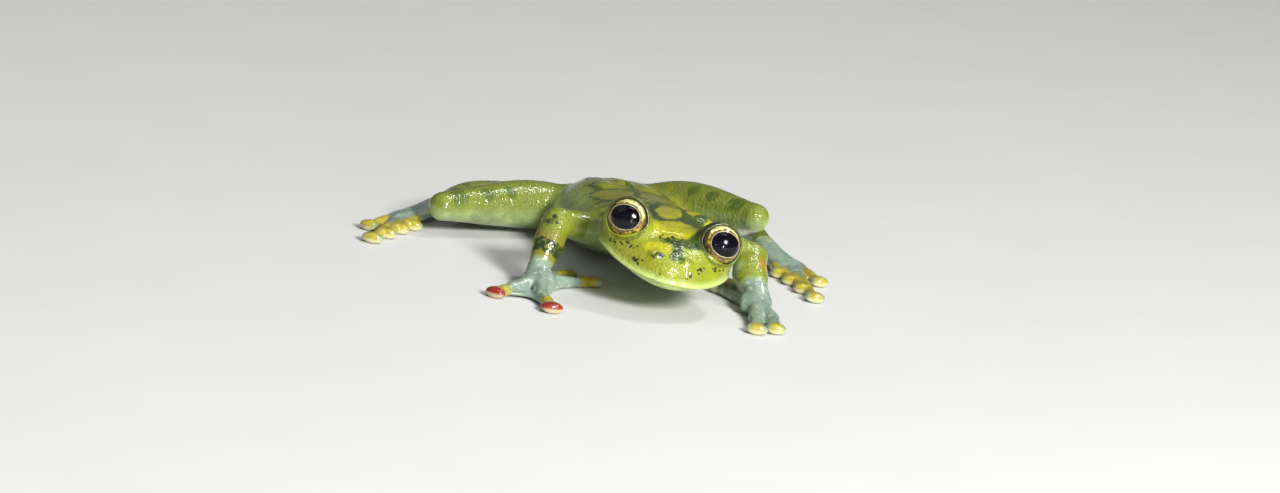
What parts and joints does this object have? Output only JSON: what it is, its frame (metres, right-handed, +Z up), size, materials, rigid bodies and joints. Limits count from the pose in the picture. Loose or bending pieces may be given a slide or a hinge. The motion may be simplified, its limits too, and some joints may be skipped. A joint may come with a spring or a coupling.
{
  "type": "glass frog model",
  "caption": "Still, life-size glass frog crouched on the floor, head raised on spread arms, one hind leg out to the side and the other folded.",
  "frame": {"origin": "on the floor, under the middle of the bounding box", "axes": "+Z up, -Y where the frog looks, +X the frog's left side"},
  "size_m": [0.0292, 0.0262, 0.0065],
  "materials": {
    "wet_skin": "moist, slightly translucent yellow-green skin",
    "eye": "polished, gold iris round a black pupil"
  },
  "bodies": {
    "root": {"head": "wet_skin", "torso": "wet_skin", "right_eye": "eye", "left_eye": "eye", "right_upper_arm": "wet_skin", "right_forearm": "wet_skin", "right_hand": "wet_skin", "right_thigh": "wet_skin", "right_shank": "wet_skin", "right_tarsus": "wet_skin", "right_foot": "wet_skin", "left_upper_arm": "wet_skin", "left_forearm": "wet_skin", "left_hand": "wet_skin", "left_thigh": "wet_skin", "left_shank": "wet_skin", "left_tarsus": "wet_skin", "left_foot": "wet_skin"}
  },
  "joints": []
}
